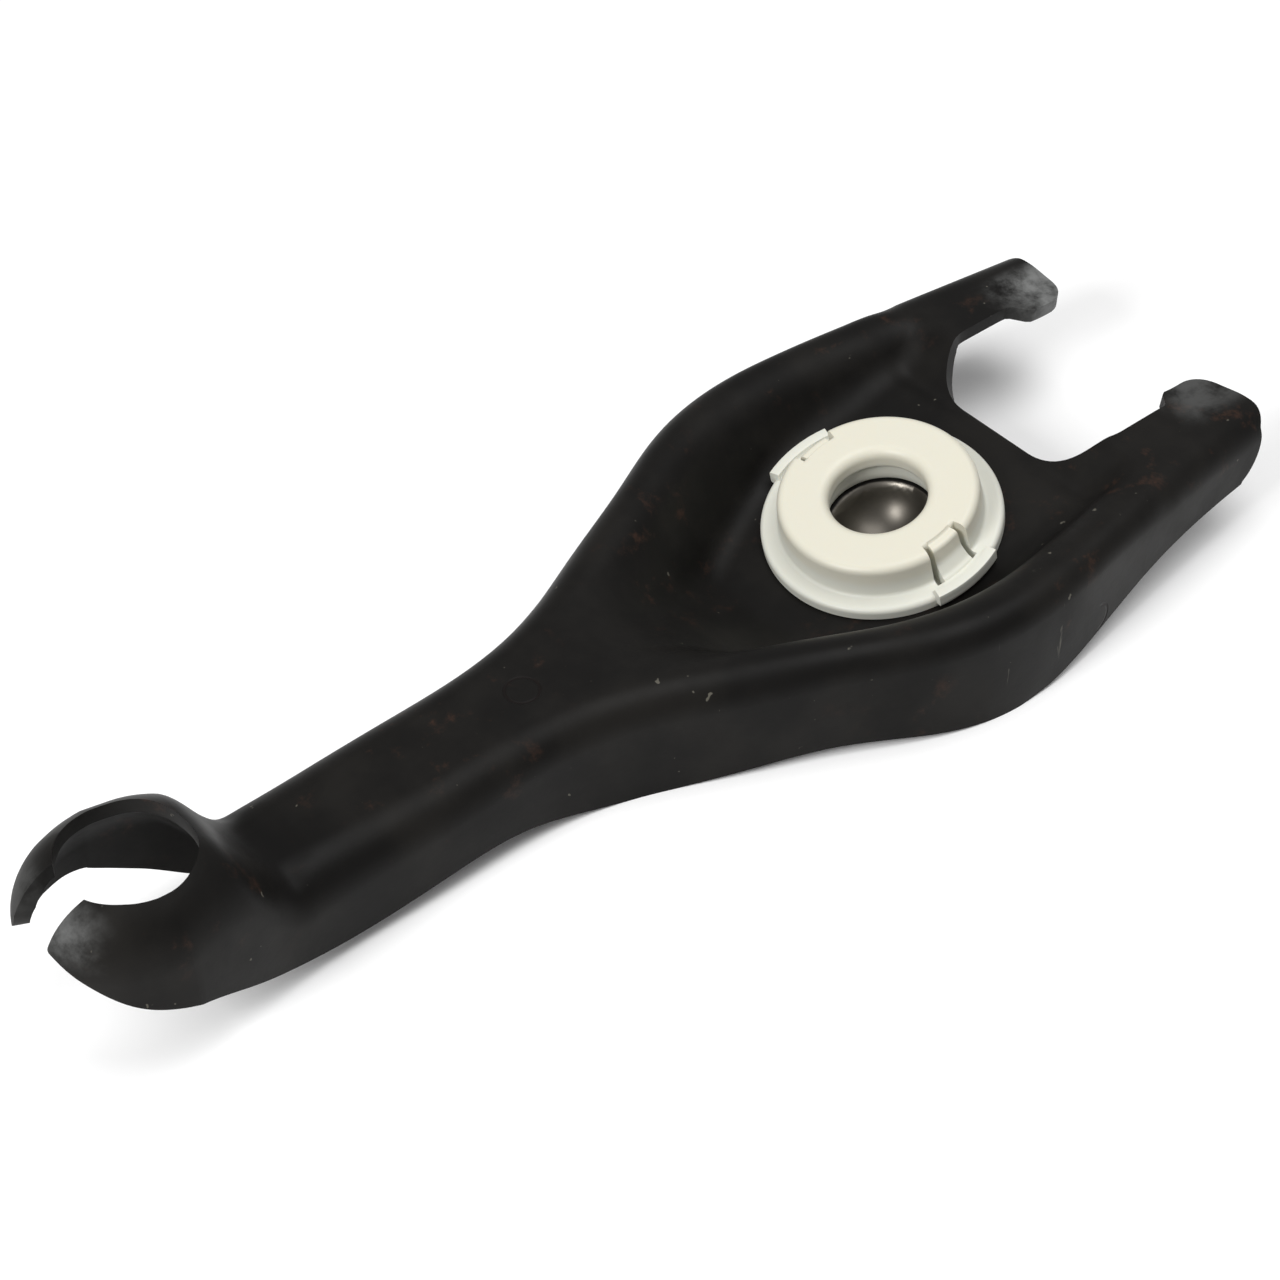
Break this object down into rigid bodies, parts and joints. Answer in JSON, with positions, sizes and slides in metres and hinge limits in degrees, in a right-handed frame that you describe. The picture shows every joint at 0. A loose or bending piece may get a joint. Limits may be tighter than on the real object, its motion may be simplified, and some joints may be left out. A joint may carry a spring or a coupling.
{
  "type": "clutch fork",
  "caption": "Pressed steel clutch release lever with a forked end, a hooked cable eye and a plastic retainer over its pivot socket.",
  "frame": {"origin": "centre of the pivot ball that seats in the socket", "axes": "+X from the hook towards the tines, +Z towards the retainer side, Y across the mirror plane"},
  "size_m": [0.2697, 0.0954, 0.0385],
  "materials": {
    "dark_steel": "satin",
    "cream_nylon": "matte"
  },
  "bodies": {
    "root": {"fork_lever": "dark_steel", "ball_retainer": "cream_nylon"}
  },
  "joints": []
}
